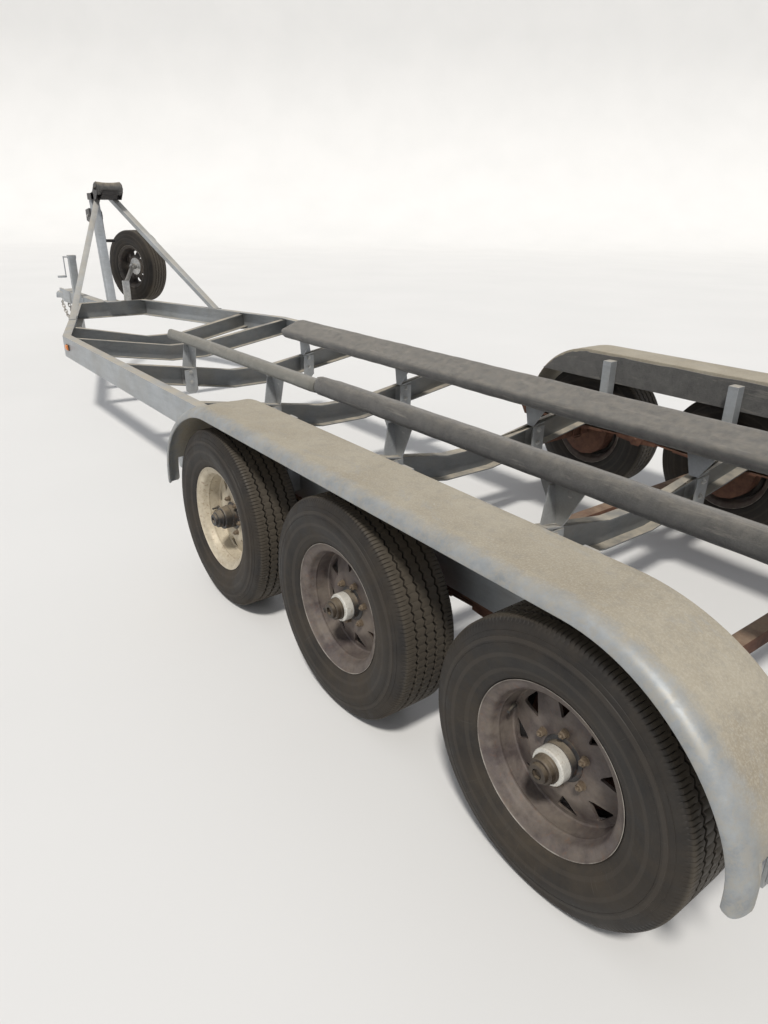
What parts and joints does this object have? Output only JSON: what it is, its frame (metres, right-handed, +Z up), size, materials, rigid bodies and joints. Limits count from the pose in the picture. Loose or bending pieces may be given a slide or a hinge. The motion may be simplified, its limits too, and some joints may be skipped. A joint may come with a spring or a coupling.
{
  "type": "boat trailer",
  "caption": "Long galvanised boat trailer with a tapered channel frame, carpeted bunks, twin fenders over sprung axles, a winch stand, a spare wheel and a jack on its tongue",
  "frame": {"origin": "middle of the length and width, on the ground", "axes": "+X forward to the coupler, +Y to the left side, +Z up"},
  "size_m": [10.704, 2.58, 1.6996],
  "materials": {
    "galvanised": "weathered galvanising with dust on upward faces",
    "fender_zinc": "galvanised sheet under a film of dry dust",
    "carpet": "dark bunk carpet over timber",
    "tyre_rubber": "dusty black rubber",
    "wheel_paint": "dusty brown paint",
    "wheel_cream": "cream paint with rust",
    "rusty_steel": "rusted steel",
    "black_steel": "black paint, satin",
    "zinc": "zinc plated",
    "roller_rubber": "matt",
    "amber_lens": "moulded lens",
    "red_lens": "moulded lens"
  },
  "bodies": {
    "frame": {"axle_front": "rusty_steel", "axle_middle": "rusty_steel", "axle_rear": "rusty_steel", "bow_arm": "black_steel", "bow_roller": "roller_rubber", "brace_left": "galvanised", "brace_right": "galvanised", "bunk_left_front": "carpet", "bunk_left_rear": "carpet", "bunk_right": "carpet", "coupler": "galvanised", "crossmember_1": "galvanised", "crossmember_2": "galvanised", "crossmember_3": "galvanised", "crossmember_4": "galvanised", "crossmember_5": "galvanised", "crossmember_bend": "galvanised", "crossmember_bow": "galvanised", "crossmember_front": "galvanised", "crossmember_rear": "galvanised", "fender_left": "fender_zinc", "fender_right": "fender_zinc", "jack_housing": "galvanised", "marker_lamp_left": "amber_lens", "marker_lamp_right": "amber_lens", "rail_left": "galvanised", "rail_right": "galvanised", "safety_chain_left": "zinc", "safety_chain_right": "zinc", "spare_carrier": "zinc", "spare_rim": "wheel_paint", "spare_tyre": "tyre_rubber", "suspension_left": "rusty_steel", "suspension_right": "rusty_steel", "tail_lamp_left": "red_lens", "tail_lamp_right": "red_lens", "tongue": "galvanised", "winch": "black_steel", "winch_post": "galvanised"},
    "wheel_rear_left": {"wheel_rear_left_rim": "wheel_paint", "wheel_rear_left_tyre": "tyre_rubber"},
    "wheel_rear_right": {"wheel_rear_right_rim": "wheel_paint", "wheel_rear_right_tyre": "tyre_rubber"},
    "wheel_middle_left": {"wheel_middle_left_rim": "wheel_paint", "wheel_middle_left_tyre": "tyre_rubber"},
    "wheel_middle_right": {"wheel_middle_right_rim": "wheel_paint", "wheel_middle_right_tyre": "tyre_rubber"},
    "wheel_front_left": {"wheel_front_left_rim": "wheel_cream", "wheel_front_left_tyre": "tyre_rubber"},
    "wheel_front_right": {"wheel_front_right_rim": "wheel_paint", "wheel_front_right_tyre": "tyre_rubber"},
    "jack_leg": {"jack_leg": "zinc"}
  },
  "joints": [
    {"name": "wheel_rear_left_spin", "type": "hinge", "parent": "frame", "child": "wheel_rear_left", "pos_m": [-3.652, 1.1485, 0.3595], "axis": [0, 1, 0], "continuous": true},
    {"name": "wheel_rear_right_spin", "type": "hinge", "parent": "frame", "child": "wheel_rear_right", "pos_m": [-3.652, -1.1485, 0.3595], "axis": [0, 1, 0], "continuous": true},
    {"name": "wheel_middle_left_spin", "type": "hinge", "parent": "frame", "child": "wheel_middle_left", "pos_m": [-2.805, 1.1485, 0.3595], "axis": [0, 1, 0], "continuous": true},
    {"name": "wheel_middle_right_spin", "type": "hinge", "parent": "frame", "child": "wheel_middle_right", "pos_m": [-2.805, -1.1485, 0.3595], "axis": [0, 1, 0], "continuous": true},
    {"name": "wheel_front_left_spin", "type": "hinge", "parent": "frame", "child": "wheel_front_left", "pos_m": [-1.958, 1.1485, 0.3595], "axis": [0, 1, 0], "continuous": true},
    {"name": "wheel_front_right_spin", "type": "hinge", "parent": "frame", "child": "wheel_front_right", "pos_m": [-1.958, -1.1485, 0.3595], "axis": [0, 1, 0], "continuous": true},
    {"name": "jack_leg_slide", "type": "slide", "parent": "frame", "child": "jack_leg", "axis": [0, 0, 1], "range_m": [0, 0.3]}
  ]
}
